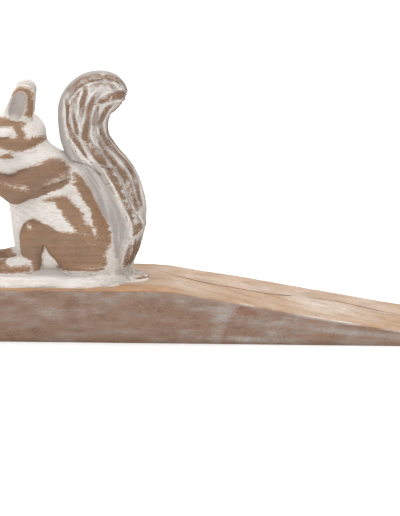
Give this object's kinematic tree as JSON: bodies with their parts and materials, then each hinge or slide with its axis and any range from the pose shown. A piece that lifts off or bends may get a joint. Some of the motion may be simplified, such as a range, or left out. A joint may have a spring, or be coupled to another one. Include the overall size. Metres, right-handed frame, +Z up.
{
  "type": "door wedge",
  "caption": "Carved wooden door wedge: a long tapering wedge that jams under an open door, with a seated squirrel carving on its thick end.",
  "frame": {"origin": "centre of the wedge's footprint, on the floor", "axes": "+X from the thick end to the thin tip, +Y across the wedge, +Z up; the squirrel faces -X"},
  "size_m": [0.24, 0.044, 0.1327],
  "materials": {
    "worn_tan_wood": "matt, thin white wash rubbed back",
    "whitewashed_wood": "matt, white paint rubbed back to brown wood on raised areas",
    "dowel_wood": "bare planed hardwood"
  },
  "bodies": {
    "root": {"wedge_body": "worn_tan_wood", "squirrel_figure": "whitewashed_wood", "front_dowel": "dowel_wood", "rear_dowel": "dowel_wood"}
  },
  "joints": []
}
